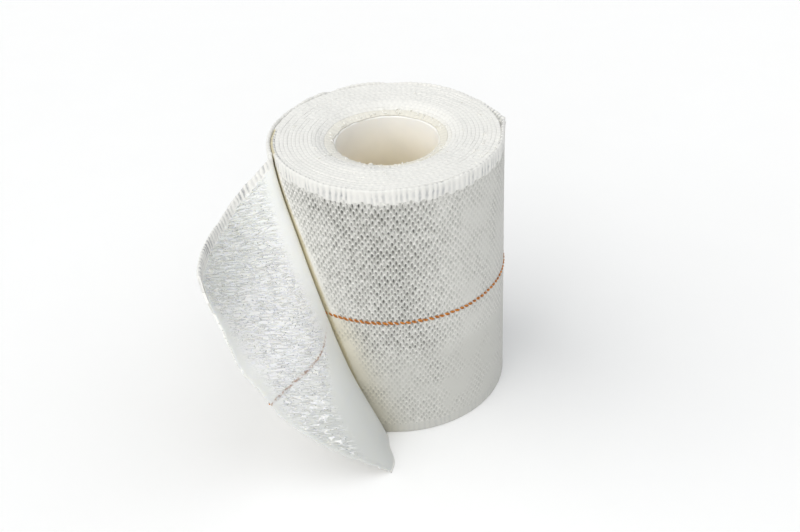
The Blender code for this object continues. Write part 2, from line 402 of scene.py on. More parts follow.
def makeCoatMaterial():
    material, add = newMaterial("zincOxideAdhesiveCoat", {
        "Roughness": 0.60,
        "Specular IOR Level": 0.35,
        "Subsurface Weight": 0.35,
        "Subsurface Scale": 1.2 * mm,
        "Subsurface Radius": (1.0, 0.92, 0.70),
    })
    # webPlace holds the place along and across the web, and across its creases, in mm.
    # tint holds how warm it is (adhesive, and painted warm bounce light and shade in the fold), how far the
    # thread shows through, and how far it is creased.
    webPlace = add("Attribute", attribute_name="webPlace")["Vector"]
    tint = add("SeparateXYZ", (add("Attribute", attribute_name="tint")["Vector"],))
    placeParts = add("SeparateXYZ", (webPlace,))
    shares = {}
    for name, (size, detail, *levels) in coatLook["noises"].items():
        noise = add("TexNoise", {"Vector": webPlace, "Scale": 1 / size, "Detail": detail}, **onWeb)[0]
        shares[name] = add("MapRange", (noise, *levels))[0]
    creased = add("Math", (tint["Z"], shares["patches"]), operation="MULTIPLY")[0]
    onward = coatLook["creaseSlant"] / coatLook["creaseLength"]
    creaseX = add("Math", (placeParts["Y"], onward), operation="MULTIPLY")[0]
    creaseY = add("Math", (placeParts["Z"], 1 / coatLook["creasePitch"]), operation="MULTIPLY")[0]
    turned = add("CombineXYZ", (creaseX, creaseY))[0]
    creases = add("TexNoise", {"Vector": turned, "Scale": 1.0, "Detail": 2.0, "Roughness": 0.45,
                               "Distortion": 0.2}, **onWeb)[0]
    # A crest is a line where the noise passes its middle value, with a thin crease on either side. The crests
    # get a painted highlight and the creases painted shade.
    fromMiddle = add("Math", (creases, 0.5), operation="SUBTRACT")[0]
    nearMiddle = add("Math", (fromMiddle,), operation="ABSOLUTE")[0]
    crest = add("MapRange", (nearMiddle, *coatLook["crestWidth"], 1.0, 0.0), **smooth)[0]
    fromCrease = add("Math", (nearMiddle, coatLook["creaseAt"]), operation="SUBTRACT")[0]
    nearCrease = add("Math", (fromCrease,), operation="ABSOLUTE")[0]
    low = add("MapRange", (nearCrease, 0.0, coatLook["creaseWidth"], 1.0, 0.0), **smooth)[0]
    high = add("Math", (crest, shares["dashes"]), operation="MULTIPLY")[0]
    lowHere = add("Math", (low, creased), operation="MULTIPLY")[0]
    highHere = add("Math", (high, tint["Z"]), operation="MULTIPLY")[0]
    up = add("MapRange", (placeParts["Y"], *coatLook["highRange"]))[0]
    # Painted shade, greyer towards the lower corner
    down = add("MapRange", (placeParts["Y"], *coatLook["lowRange"]))[0]
    specks = add("Math", (shares["pinholes"], creased), operation="MULTIPLY")[0]
    color = coatLook["coat"]
    for share, tone in ((tint["Z"], "hollows"), (up, "highTone"), (down, "paintedLowShade"), (highHere, "paintedCrestHighlight"),
                        (lowHere, "creases"), (specks, "specks")):
        color = add("Mix", {0: share, 6: color, 7: coatLook[tone]}, **colors)[2]
    # The warm tint in the fold: adhesive, and painted warm bounce light and shade
    color = add("Mix", {0: tint["X"], 6: color, 7: coatLook["warm"]}, **tinting)[2]
    # The marking thread shows through as a broken line
    fromThread = add("Math", (placeParts["Y"], web["threadAcross"] / mm), operation="SUBTRACT")[0]
    beside = add("Math", (fromThread,), operation="ABSOLUTE")[0]
    line = add("MapRange", (beside, 0.0, coatLook["threadHalf"], 0.9, 0.0), **smooth)[0]
    lineBroken = add("Math", (line, shares["breaks"]), operation="MULTIPLY")[0]
    lineHere = add("Math", (lineBroken, tint["Y"]), operation="MULTIPLY")[0]
    color = add("Mix", {0: lineHere, 6: color, 7: coatLook["thread"]}, **colors)[2]
    place = add("TexCoord")["Object"]
    grain = add("TexNoise", {"Vector": place, "Scale": 1 / coatLook["grainSize"], "Detail": 2.0})[0]
    fine = add("Math", (grain, 0.15), operation="MULTIPLY")[0]
    crestHeight = add("Math", (highHere, lowHere), operation="SUBTRACT")[0]
    height = add("Math", (crestHeight, fine), operation="ADD")[0]
    return finishMaterial(material, color, height, 1.0, coatLook["relief"])


# Moulded polyethylene core: smooth cream plastic that lets a little light in, darker and warmer down in the
# bore with painted shade
coreLook = {
    "plastic": "#FFFDF8",
    "paintedBoreShade": "#F4E9D0",         # painted warm shade down in the bore
    "deepFrom": 16 * mm,
    "cloudSize": 7 * mm,
    "grainSize": 0.8 * mm,
    "relief": 0.03 * mm,
}


def makeCoreMaterial():
    material, add = newMaterial("mouldedPolyethylene", {
        "Roughness": 0.45,
        "Specular IOR Level": 0.4,
        "Subsurface Weight": 0.08,
        "Subsurface Scale": 3 * mm,
        "Subsurface Radius": (1.0, 0.75, 0.45),
    })
    place = add("TexCoord")["Object"]
    cloud = add("TexNoise", {"Vector": place, "Scale": 1 / coreLook["cloudSize"], "Detail": 2.0})[0]
    grain = add("TexNoise", {"Vector": place, "Scale": 1 / coreLook["grainSize"], "Detail": 2.0})[0]
    shade = add("MapRange", (cloud, 0.3, 0.7, 0.94, 1.0))[0]
    height = add("SeparateXYZ", (place,))["Z"]
    paintedBoreShade = add("MapRange", (height, coreHigh.z, coreHigh.z - coreLook["deepFrom"]))[0]
    plastic = add("Mix", {0: paintedBoreShade, 6: coreLook["plastic"], 7: coreLook["paintedBoreShade"]}, **colors)[2]
    color = add("Mix", {0: 1.0, 6: plastic, 7: shade}, **tinting)[2]
    return finishMaterial(material, color, grain, 0.15, coreLook["relief"])


# Dyed polyester marking thread: orange brown, twisted from two plies, with a slight gloss
markingYarn = {
    "name": "dyedPolyesterThread",
    "finish": {"Roughness": 0.6, "Specular IOR Level": 0.35, "Sheen Weight": 0.15},
    "yarn": "#D88A2E",
    "shade": "#7E4310",
    "plySize": 0.35 * mm,
    "plies": (0.38, 0.62),     # the noise's range from shade to yarn
    "relief": 0.05 * mm,
}

# Loose cotton thread, the same yarn as the knit but fluffed. It reads as small soft white loops.
looseYarn = {
    "name": "looseCottonThread",
    "finish": {"Roughness": 0.95, "Specular IOR Level": 0.1, "Sheen Weight": 0.25},
    "yarn": "#FFFEFA",
    "shade": "#E4E3DC",
    "plySize": 0.25 * mm,
    "plies": (0.35, 0.6),
    "relief": 0.05 * mm,
}


def makeThreadMaterial(look):
    material, add = newMaterial(look["name"], look["finish"])
    place = add("TexCoord")["Object"]
    plies = add("TexNoise", {"Vector": place, "Scale": 1 / look["plySize"], "Detail": 2.0})[0]
    share = add("MapRange", (plies, *look["plies"]))[0]
    color = add("Mix", {0: share, 6: look["shade"], 7: look["yarn"]}, **colors)[2]
    return finishMaterial(material, color, plies, 0.4, look["relief"])


knitMaterial = makeKnitMaterial()
coatMaterial = makeCoatMaterial()
coreMaterial = makeCoreMaterial()
threadMaterial = makeThreadMaterial(markingYarn)
looseThreadMaterial = makeThreadMaterial(looseYarn)


def toMesh(name, shape):
    mesh = bpy.data.meshes.new(name)
    shape.to_mesh(mesh)
    shape.free()
    return mesh


def bentGrid(name, points, attributes, coated=None):
    # A flat grid whose rows close round to a section, then moved to its place point by point
    columns, rows = points.shape[0] - 1, points.shape[1]
    shape = bmesh.new()
    bmesh.ops.create_grid(shape, x_segments=columns, y_segments=rows, size=1.0)
    mesh = toMesh(name, shape)
    flat = np.zeros(len(mesh.vertices) * 3, np.float32)
    mesh.vertices.foreach_get("co", flat)
    flat = flat.reshape(-1, 3)
    column = np.rint((flat[:, 0] + 1) / 2 * columns).astype(int)
    row = np.rint((flat[:, 1] + 1) / 2 * rows).astype(int) % rows
    mesh.vertices.foreach_set("co", points[column, row].astype(np.float32).ravel())
    for attributeName, values in attributes.items():
        attribute = mesh.attributes.new(attributeName, "FLOAT_VECTOR", "POINT")
        attribute.data.foreach_set("vector", values[column, row].astype(np.float32).ravel())
    if coated is not None:
        # Faces wholly on the coated side get the second material
        corners = np.zeros(len(mesh.loops), np.int32)
        mesh.loops.foreach_get("vertex_index", corners)
        onCoat = coated[column, row][corners].reshape(-1, 4).all(axis=1)
        mesh.polygons.foreach_set("material_index", onCoat.astype(np.int32))
    shape = bmesh.new()
    shape.from_mesh(mesh)
    bmesh.ops.remove_doubles(shape, verts=shape.verts, dist=1e-7)
    rims = [edge for edge in shape.edges if edge.is_boundary]
    if rims:
        bmesh.ops.holes_fill(shape, edges=rims, sides=0)
        for edge in rims:
            edge.smooth = False
    bmesh.ops.recalc_face_normals(shape, faces=shape.faces)
    for face in shape.faces:
        face.smooth = True
    shape.to_mesh(mesh)
    shape.free()
    return mesh


# The knit's relief. Each stitch has two slanting legs that stand proud, with a hole beneath them.
# A wobble or a patch is given as its height, its size and its seed.
knit = {
    "columnSteps": 4,          # points along one stitch
    "rowSteps": 3,             # points across one row
    "crest": 0.11 * mm,
    "hole": 0.22 * mm,
    "uneven": 0.30,            # how far one stitch differs from the next
    "patches": ((0.3, 7 * mm, 3),),
    "pressedLoss": 0.75,       # the share of the relief that is lost where it is pressed flat
    "stitchWobble": ((0.12, 5 * mm, 12), (0.09, 1.6 * mm, 13)),    # in stitches
    "rowWobble": ((0.14, 4 * mm, 17), (0.08, 1.5 * mm, 18)),       # in rows
}

# Over each edge runs one strand of whipping for each stitch, which slants behind it
whipping = {
    "bandRows": 7,             # points across the band
    "edgeRows": 4,             # points round the edge
    "height": (0.13 * mm, 0.17 * mm),    # of the strands, on the knit side and the other
    "slant": 0.50,             # how far a strand leans along the web on the adhesive side
    "wobble": ((0.24, 2.4 * mm, 34),),   # in stitches
    "ownTurn": 0.12,           # in stitches
    "reach": 1.9 * mm,         # how far the strands reach down the adhesive side
    "ownReach": 0.35 * mm,
    "shade": (0.78, 1.0),      # how dark the painted shade in the gaps between strands is on the two sides
    "tone": (0.24, 0.76),      # how much of the ground's painted shade shows on a strand, above and at the base
    "atBase": 0.35,            # the base edge's strands are this much flatter and fainter
    "bulge": 0.06 * mm,        # each strand lifts the rim a little
}

# The pattern is pressed flat in places: angles round the roll in degrees, heights in mm
pressed = {
    "nearPeel": ((0, 8.0), (30, 6.5), (42, 2.4), (60, 2.8), (75, 3.4)),    # height and width of the band
    "besidePeel": 0.42,        # and this much up to a stretch beside it
    "besideWidth": 13.0,
    "tones": (0.12, 0.61, 0.76),         # of the ground's painted shade beside the peel line, at the far side and low down
    "farAngles": (255, 312),
    "lowAngles": (226, 270),
    "lowHeights": (44, 22),
    "patches": (
        {"from": (225, 255), "until": (380, 420), "heights": (34, 20), "most": 0.72},
        {"from": (270, 300), "until": (380, 420), "heights": (38, 24), "most": 0.93},
        {"from": (268, 312), "until": (380, 420), "heights": (90, 76), "most": 0.78},
    ),
}

# The adhesive side is smooth in a band beside the peel line, and creased beyond it
crepe = {
    # Height and width in mm, here and beside the cut
    "smoothReach": ((0, 26), (15, 20), (25, 16.5), (30, 13.5), (37, 8), (50, 7), (75, 5)),
    "fade": 5 * mm,
    "relief": 0.035 * mm,
    "cutBand": ((0, 0.8), (26, 0.8), (36, 1.8), (46, 3.6), (56, 3.4), (66, 2.0), (75, 1.0)),
    # The creases run level: height in mm and the angle from along the web in degrees
    "turns": ((0, 66), (15, 64), (25, 55), (35, 50), (45, 49), (55, 43), (65, 37), (75, 29)),
    "threadShows": (3 * mm, 12 * mm),    # the marking thread shows through from here, past the peel line
}

# A warm tint beside the peel line and in the fold: partly adhesive left on the web, partly painted warm
# bounce light and shade from the narrow gap under the fold. How strong, and how far it reaches
residueAndPaintedBounce = {
    "byPeel": (0.75, 0.35 * mm),         # on the knit that was just uncovered
    "wide": (0.42, 6.0 * mm),            # and more of it low down
    "wideHeights": (39, 34),
    "inFold": (0.55, 0.7 * mm),
}

# The roll's rim isn't quite level and has small bumps and notches. At the right it flares outward.
rim = {
    "reach": 6 * mm,           # down to here the web follows its rim
    "waves": ((0.20 * mm, 9 * mm, 5), (0.11 * mm, 2.3 * mm, 6)),
    # The angle round the roll, half-width and height in mm
    "bumps": ((479, 1.6, -0.62), (488, 6.0, 0.30), (462, 5.0, 0.25), (446, 2.5, -0.30), (424, 6.0, 0.25),
              (398, 3.0, -0.25), (352, 4.0, 0.20), (335, 3.0, -0.20)),
    "flareAngle": 369,
    "flareWidth": 9.0,         # half of it, in degrees
    "flareOutward": 0.85 * mm,
    "flareHeight": 4.0 * mm,
}

# The peel draws the knit beneath it a little outward
drawn = {
    "outward": 0.20 * mm,
    "width": 2.0 * mm,
}

# The web thins out at its cut, which is ragged. Near the lower corner it curls forward a little.
cut = {
    "thinning": 0.5 * mm,
    "thinnest": 0.12,          # of the web's thickness
    "ragged": ((0.24 * mm, 1.1 * mm, 31), (0.14 * mm, 5 * mm, 32)),
    "raggedReach": 4 * mm,
    "plain": (0.4 * mm, 1.4 * mm),       # the stitches are lost here
    "curl": 0.25 * mm,
    "curlWidth": 0.9 * mm,
    "curlFade": (5 * mm, 14 * mm),
}


def layeredNoise(x, y, layers):
    return sum(height * patchNoise(x, y, size, seed) for height, size, seed in layers)


def fadeFrom(distance, strength, width):
    # Full on one line and behind it, then fading out like a bell
    return strength * np.exp(-(np.clip(distance, 0, 1) / width) ** 2)


def acrossRows():
    band, bend = web["edgeBand"], web["thickness"] / 2
    lowBand = bend + (band - bend) * np.arange(whipping["bandRows"]) / whipping["bandRows"]
    field = band + stitchHeight * np.arange(web["stitchRows"] * knit["rowSteps"] + 1) / knit["rowSteps"]
    return np.concatenate([lowBand, field, web["width"] - lowBand[::-1]])


def edgeRise(along, angle):
    rise = layeredNoise(along, 0.0, rim["waves"])
    for place, halfWidth, height in rim["bumps"]:
        # 1 degree is half a millimetre along the rim
        rise = rise + height * mm * np.exp(-((angle - place) * 0.5 / halfWidth) ** 2)
    return rise


def pressedShare(across, angle, uncovered, row):
    # How far the knit's pattern is pressed flat, from 0 to 1
    reach = np.interp(across / mm, *zip(*pressed["nearPeel"])) * mm
    share = fadeFrom(uncovered, 0.95, reach)
    share = np.maximum(share, pressed["besidePeel"] * np.exp(-(uncovered / mm / pressed["besideWidth"]) ** 2))
    for patch in pressed["patches"]:
        inside = easeBetween(angle, *patch["from"]) * (1 - easeBetween(angle, *patch["until"]))
        below = easeBetween(-across / mm, -patch["heights"][0], -patch["heights"][1])
        share = np.maximum(share, patch["most"] * inside * below)
    # The stitches lose themselves in the whipped edges
    edgeRow = np.minimum(row, web["stitchRows"] - row)
    byEdge = 0.8 - 0.8 * easeBetween(edgeRow + 0.9 * patchNoise(angle * 0.5, across / mm, 1.1, 15), -0.4, 2.0)
    share = np.clip(share * (1 + 0.25 * patchNoise(angle * 0.5, across / mm, 3.5, 16)), 0, 1)
    return np.maximum(share, byEdge)


def groundShadeShare(across, angle):
    # How much of the ground's painted shade shows where the pattern is pressed flat: little beside the peel
    # line, more on the far side and low down
    near, far, low = pressed["tones"]
    top, bottom = pressed["lowHeights"]
    tone = near + (far - near) * easeBetween(angle, *pressed["farAngles"])
    lowShare = easeBetween(-across / mm, -top, -bottom) * easeBetween(angle, *pressed["lowAngles"])
    return np.maximum(tone, low * lowShare)


def acrossCreases(along, across):
    # The distance across the creases, which run level and so turn with the height
    turns = np.radians(np.interp(netAcross / mm, *zip(*crepe["turns"])))
    steps = np.diff(netAcross) / np.tan((turns[1:] + turns[:-1]) / 2)
    return np.interp(across, netAcross, np.concatenate([[0], np.cumsum(steps)])) - along


def webPiece(name, firstStitch, lastStitch, cutEnd):
    # The section goes up the knit side, over the upper edge, down the adhesive side and round the base
    # edge. side is 1 on the knit side and 0 on the adhesive side.
    front = acrossRows()
    back = front[::-1] if cutEnd else front[[-1, -whipping["bandRows"], whipping["bandRows"] - 1, 0]]
    edgeBends = np.linspace(0, math.pi, whipping["edgeRows"] + 2)[1:-1]
    bend = web["thickness"] / 2
    across = np.concatenate([front, web["width"] - bend + bend * np.sin(edgeBends), back,
                             bend - bend * np.sin(edgeBends)])[None, :]
    side = np.concatenate([front * 0 + 1, (1 + np.cos(edgeBends)) / 2, back * 0,
                           (1 - np.cos(edgeBends)) / 2])[None, :]
    columns = (lastStitch - firstStitch) * knit["columnSteps"]
    stitch = (firstStitch + np.arange(columns + 1) / knit["columnSteps"])[:, None]
    along, across, side, stitch = np.broadcast_arrays(stitch * stitchWidth, across, side, stitch)
    angle = np.interp(along, layLengths, layAngles)
    row = (across - web["edgeBand"]) / stitchHeight
    # Distances past the peel line, past the line where the roll is uncovered, and to the cut
    past = along - np.interp(across, netAcross, peelAlong)
    uncovered = past + math.radians(360) * (web["stepRadius"] - web["turnPitch"] / 2)
    toCut = web["looseLength"] - along
    onRoll = 0.0 if cutEnd else 1.0

    # Random values for each stitch, one for each of its rows and then five for its strands
    own = np.random.default_rng(11).uniform(-1, 1, (400, 80))
    whole = np.rint(stitch).astype(int) % 400
    ownReach, ownEnd, ownRise, ownTurn = (own[whole, place] for place in (75, 76, 78, 79))

    # Each strand of the upper whipped edge reaches a little further in or less far
    inField = (row > -0.01) & (row < web["stitchRows"] - 0.49 - 0.5 * ownEnd)
    isKnit = inField & (side == 1)
    downEdge = web["width"] - across + whipping["ownReach"] * ownReach
    isCoat = (side == 0) & (across > 0.75 * mm) & (downEdge > whipping["reach"])
    inField = np.where(side == 0, isCoat, inField)
    topBand = across > web["width"] / 2

    # Legs rise and fall in a zigzag that is staggered from row to row
    wobble = layeredNoise(along, across, knit["stitchWobble"])
    wobble = wobble + np.where(inField, 0.0, layeredNoise(along, 0.0, whipping["wobble"]))
    rowWobble = layeredNoise(along, across, knit["rowWobble"])
    crestRow = np.clip(np.floor(row + 0.01).astype(int), 0, 79)
    rowShare = row + 0.01 - crestRow
    stagger = np.where(crestRow % 2 == 0, 1.0, -1.0)
    legRise = zigzag(stitch + wobble) * stagger
    flat = np.where(side == 1, pressedShare(across, angle, uncovered, row), 0.0)
    tone = groundShadeShare(across, angle)
    if cutEnd:
        atCut = 1 - easeBetween(toCut, *cut["plain"])
        flat = np.maximum(flat, atCut)
        tone = tone * (1 - atCut)
    crest = knit["crest"] * (0.75 + 0.35 * legRise)
    hole = -knit["hole"] * (0.1 + 0.9 * ((1 - legRise) / 2) ** 1.3)
    strength = (1 + layeredNoise(along, across, knit["patches"])) * (1 - knit["pressedLoss"] * flat)
    strength = strength * (1 + knit["uneven"] * own[whole, crestRow])
    stitchRelief = np.where(rowShare < 0.1, crest, hole) * strength
    shift = stitchHeight * (knitLook["legRise"] * legRise * (1 - 2 * rowShare) - rowWobble)
    # At the first and last row the zigzag dies out into the whipped edges
    shift = np.where(isKnit, shift, 0.0) * np.clip(np.minimum(row, web["stitchRows"] - row), 0, 1)

    # The strands of whipping sink into the web at their inner ends, some further in than others
    slantAcross = np.clip(web["width"] - across, 0, web["edgeBand"]) / stitchWidth
    slant = np.where(side < 0.5, -whipping["slant"] * slantAcross, 0.0)
    rib = np.cos(2 * math.pi * (stitch + wobble + slant + whipping["ownTurn"] * ownTurn))
    fromBand = np.abs(row - web["stitchRows"] / 2) - web["stitchRows"] / 2
    ends = easeBetween(fromBand + 0.5 + 0.5 * ownEnd, -0.1, 1.3)
    ends = np.where(side == 0, easeBetween(whipping["reach"] - downEdge, -0.1 * mm, 0.5 * mm), ends)
    frontHeight, backHeight = whipping["height"]
    ribRise = (backHeight + (frontHeight - backHeight) * side) * (0.35 + 0.65 * rib + 0.3 * ownRise)
    ribRise = ribRise * ends * np.where(topBand, 1.0, whipping["atBase"])
    strandRelief = ribRise * np.where(side == 0.5, 0.0, 2 * side - 1)

    # How dark the painted shade in the gaps between the strands is. Inside the back of the roll the strands
    # lie close and it is fainter; on the knit side it is strongest at their inner ends, and is lost on the
    # rim.
    frontShade, backShade = whipping["shade"] if cutEnd else (whipping["shade"][0],) * 2
    ownShade = 0.7 + 0.55 * own[np.rint(stitch + slant).astype(int) % 400, 77]
    atBack = easeBetween(angle, 385, 410) * (side < 0.9) * (1 - 0.9 * cutEnd * easeBetween(past, 0, 6 * mm))
    byRim = np.where(side > 0.5, 1 - 0.75 * easeBetween(fromBand, 0.9, 2.5), 1.0)
    gapShade = (backShade + (frontShade - backShade) * side) * (ownShade * (1 - 0.75 * atBack))
    gapShade = gapShade * np.where(topBand, (0.55 + 0.45 * ends) * byRim, whipping["atBase"])
    # The coat gets 1, a whipped edge 1 plus the depth of its painted gap shade
    ribGap = np.where(inField, 1.0 * isCoat, 1.0 + np.clip(gapShade, 0, 1))

    # The adhesive side is creased, but smooth beside the peel line and along the cut
    reach = np.interp(across / mm, *zip(*crepe["smoothReach"])) * mm
    creased = easeBetween(past, reach - crepe["fade"] / 2, reach + crepe["fade"] / 2)
    cutBand = np.interp(across / mm, *zip(*crepe["cutBand"])) * mm
    creased = creased * easeBetween(toCut, cutBand * 0.3, cutBand * 1.9)
    sideward = acrossCreases(along, across)
    onward = coatLook["creaseSlant"] * across
    creases = (patchNoise(onward / 4, sideward, 0.9 * mm, 21)
               + 0.5 * patchNoise(onward / 3, sideward, 0.6 * mm, 22))

    relief = np.where(isKnit, stitchRelief, np.where(inField, 0.0, strandRelief))
    relief = np.where(isCoat, crepe["relief"] * creases * creased, relief)
    upper = np.clip((across - (web["width"] - rim["reach"])) / rim["reach"], 0, 1.2)
    newAcross = across + shift + upper * (edgeRise(along, angle * onRoll) + whipping["bulge"] * rib)
    flare = rim["flareOutward"] * np.exp(-((angle - rim["flareAngle"]) / rim["flareWidth"]) ** 2) * onRoll
    flare = flare * easeBetween(across, web["width"] - rim["flareHeight"], web["width"])
    flare = flare * (1 + 0.5 * patchNoise(along, 0.0, 1.4 * mm, 19))
    lift = (web["thickness"] + fadeFrom(uncovered, drawn["outward"], drawn["width"]) * (along < 0)) * side
    newAlong = along
    if cutEnd:
        # The web thins from the knit side
        share = np.clip(toCut / cut["thinning"], 0, 1)
        thickness = np.sqrt(np.clip(1 - (1 - share) ** 2, 0, 1))
        lift = web["thickness"] * (cut["thinnest"] + (side - cut["thinnest"]) * thickness)
        relief = relief * share
        newAcross = newAcross - shift * (1 - share)
        ragged = layeredNoise(across, 0.0, cut["ragged"])
        newAlong = along + ragged * easeBetween(toCut, cut["raggedReach"], 0.0)
        curl = cut["curl"] * np.exp(-(toCut / cut["curlWidth"]) ** 2)
        curl = curl * (1 - easeBetween(across, *cut["curlFade"]))
        lift = lift - curl * (1 + 0.4 * patchNoise(across, 0.0, 2.0 * mm, 33))
    points = webAt(newAlong, newAcross, lift + relief + flare)
    points[..., 2] = np.maximum(points[..., 2], 0.0)

    # The warm tint beside the peel line and in the fold: partly adhesive residue, partly painted warm bounce
    # light and shade
    closeStrength, closeWidth = residueAndPaintedBounce["byPeel"]
    close = closeStrength * np.exp(-np.clip(uncovered, 0, 1) / closeWidth)
    highest, lowest = residueAndPaintedBounce["wideHeights"]
    wide = fadeFrom(uncovered, *residueAndPaintedBounce["wide"]) * easeBetween(-across / mm, -highest, -lowest)
    warm = np.where((along < -5 * mm) & (side > 0.5), np.maximum(close, wide), 0.0)
    foldStrength, foldWidth = residueAndPaintedBounce["inFold"]
    warm = np.where(isCoat & (along > 0), foldStrength * np.exp(-np.clip(past, 0, 1) / foldWidth), warm)
    nearThread = np.abs(across - web["threadAcross"]) < 3 * mm
    thread = np.where(nearThread, easeBetween(past, *crepe["threadShows"]), 0.1)
    # How much painted ground shade lies on the strands, more at the base
    bandShadeShare = np.where(topBand | (side < 0.5), *whipping["tone"])
    weaveRow = (newAcross - web["edgeBand"]) / stitchHeight + rowWobble * isKnit
    weave = np.stack([stitch + wobble + slant, weaveRow, ribGap], -1)
    webPlace = np.stack([along / mm, across / mm, sideward / mm], -1)
    second = np.where(isCoat, thread, np.where(inField, flat, bandShadeShare))
    tint = np.stack([warm, second, np.where(side == 1, tone, creased)], -1)
    return bentGrid(name, points, {"weave": weave, "webPlace": webPlace, "tint": tint}, isCoat)


webMaterials = [knitMaterial, coatMaterial]
print("Bending the outer turn")
outerTurn = showPiece("outerTurn", webPiece("outerTurn", web["firstStitch"], web["backStitch"], False),
                      webMaterials)
outerTurnBack = showPiece("outerTurnBack", webPiece("outerTurnBack", web["backStitch"], 0, False),
                          webMaterials)
print("Bending the loose end")
looseEnd = showPiece("looseEnd", webPiece("looseEnd", 0, web["stitchesAlong"], True), webMaterials)

# The core is a thin tube, a little lower than the web round it
core = {
    "wall": 1.0 * mm,
    "rounding": 0.3 * mm,
    "steps": 128,
}
coreRadius = coreHigh.x - axisX

# The turns inside the outer one are one long spiral strip, of which the two edges show.
# Waves are given as their height, their size and their seed.
spiral = {
    "turns": 13.75,
    "pitch": 1.013 * mm,
    "loosePitch": 0.225 * mm,      # the last turns lie a little further apart
    "looseTurns": 0.9,
    "outward": 0.18 * mm,          # the first turn fills up to the outer web
    "outwardTurns": 0.12,
    "slack": 0.02 * mm,            # between one turn and the next
    "edgeRound": 0.07 * mm,
    "dishFrom": 0.3 * mm,          # the turns sink towards the core, most of all this far outside it
    "dishWidth": 5.0 * mm,
    "dishDepth": 1.4 * mm,
    "uneven": 0.20 * mm,
    "unevenSize": 7 * mm,
    "waves": ((0.07 * mm, 9 * mm, 52), (0.06 * mm, 1.6 * mm, 53)),
    "rib": 0.05 * mm,              # a strand of whipping for each stitch
    "aboveCore": 0.12 * mm,        # the web clears the core's rim by this much
    "lipGap": 0.30 * mm,           # the innermost edge leans inward to this far from the bore
    "lipWaves": ((0.16, 3.5 * mm, 56), (0.14, 1.2 * mm, 57)),
    "taperTurns": 0.20,            # the strip thins out at its inner end
    "baseRound": 0.30 * mm,
    # how much painted ground shade lies on its strands
    "tone": 0.16,
    "gaps": 1.10,                  # how dark the painted shade in the gaps between its strands is, from 1 to 2
    "warm": 0.30,                  # the innermost turns are a little warmer
    "warmWidth": 2.2 * mm,
}


def dishAt(radius):
    # How far the turns have sunk at this distance from the axis
    start = coreRadius + spiral["dishFrom"]
    return spiral["dishDepth"] * (1 - easeBetween(radius, start, start + spiral["dishWidth"]))


def makeInnerTurns():
    lastAngle = float(np.interp(web["firstStitch"] * stitchWidth, layLengths, layAngles))
    lastRadius = float(adhesiveRadius(lastAngle)) + web["thickness"] / 2
    middle = lastRadius - spiral["pitch"] * spiral["turns"] / 2
    step = stitchWidth / knit["columnSteps"]
    count = int(2 * math.pi * middle * spiral["turns"] / step)
    # Equal steps along the strip, counted from its outer end
    turnsIn = np.linspace(0, spiral["turns"], 4000)
    radii = (lastRadius - spiral["pitch"] * turnsIn
             + spiral["outward"] * easeBetween(turnsIn, 0, spiral["outwardTurns"])
             - spiral["loosePitch"] * (1 - np.exp(-turnsIn / spiral["looseTurns"])))
    lengths = np.concatenate([[0], np.cumsum(2 * math.pi * np.diff(turnsIn) * (radii[1:] + radii[:-1]) / 2)])
    at = np.linspace(0, lengths[-1], count + 1)[:, None]
    turnIn = np.interp(at, lengths, turnsIn)
    radius = np.maximum(np.interp(at, lengths, radii), coreRadius + spiral["pitch"] / 2)
    angle = lastAngle - 360 * turnIn
    looser = spiral["loosePitch"] / spiral["looseTurns"] * np.exp(-turnIn / spiral["looseTurns"])
    half = (spiral["pitch"] + looser - spiral["slack"]) / 2
    left = spiral["turns"] - turnIn
    present = easeBetween(left, -0.1 * spiral["taperTurns"], spiral["taperTurns"])
    half = half * present
    # The section: over the top edge from outside to inside, then under the base edge
    bends = np.radians([90, 60, 25, -25, -60, -90])[None, :]
    topOut = half * np.sin(bends)
    x = axisX + (radius + topOut) * np.cos(np.radians(angle))
    y = axisY + (radius + topOut) * np.sin(np.radians(angle))
    top = (web["width"] - 0.1 * mm - dishAt(radius + topOut)
           + spiral["uneven"] * patchNoise(x, y, spiral["unevenSize"], 51)
           + layeredNoise(at, 0.0, spiral["waves"]))
    top = np.clip(top, coreHigh.z + 0.5 * mm, web["width"] + 0.25 * mm)
    rib = np.cos(2 * math.pi * at / stitchWidth + 0.8 * patchNoise(at, 0.0, 3 * mm, 54))
    bulge = spiral["edgeRound"]
    topUp = top - bulge + bulge * np.sqrt(np.cos(bends).clip(0)) + spiral["rib"] * rib * np.cos(bends)
    # The innermost turns lean over the core's rim
    covered = easeBetween(left - 1, -0.1 * spiral["taperTurns"], spiral["taperTurns"]) * (left > 1)
    lean = np.maximum(radius - half - (coreRadius - core["wall"] + spiral["lipGap"]), 0)
    lean = lean * (1 - covered) * present
    lean = lean * (1 + layeredNoise(at, 0.0, spiral["lipWaves"]))
    inside = 0.5 - 0.5 * np.sin(bends)
    topOut = topOut - lean * inside
    droop = np.maximum(top - bulge - coreHigh.z - spiral["aboveCore"], 0) * np.clip(lean / (0.6 * mm), 0, 1)
    topUp = topUp - droop * inside ** 2
    neck = np.minimum(coreHigh.z + spiral["aboveCore"], top[:, 3:4] - bulge - 0.1 * mm)
    baseOut = half * np.sin(-bends)
    baseUp = spiral["baseRound"] - spiral["baseRound"] * np.cos(bends) + 0.04 * mm * (1 - rib) * np.cos(bends)
    baseUp = baseUp + 0.12 * mm * np.abs(patchNoise(at, 0.0, 11 * mm, 55))
    out = np.concatenate([topOut, -half, baseOut], 1)
    up = np.concatenate([topUp, neck, baseUp + 0 * at], 1)
    points = aroundAxis(angle + 0 * out, radius + out, up)
    weave = np.stack([at / stitchWidth + 0 * out, 0 * out, spiral["gaps"] + 0 * out], -1)
    start = coreRadius + spiral["dishFrom"]
    warm = spiral["warm"] * (1 - easeBetween(radius, start, start + spiral["warmWidth"])) + 0 * out
    tint = np.stack([warm, spiral["tone"] + 0 * out, 0 * out], -1)
    mesh = bentGrid("innerTurns", points, {"weave": weave, "tint": tint})
    length = float(lengths[-1])
    print("The inner turns are", round(length, 3), "m long")
    return showPiece("innerTurns", mesh, [knitMaterial]), length


print("Winding the inner turns")
innerTurns, innerLength = makeInnerTurns()


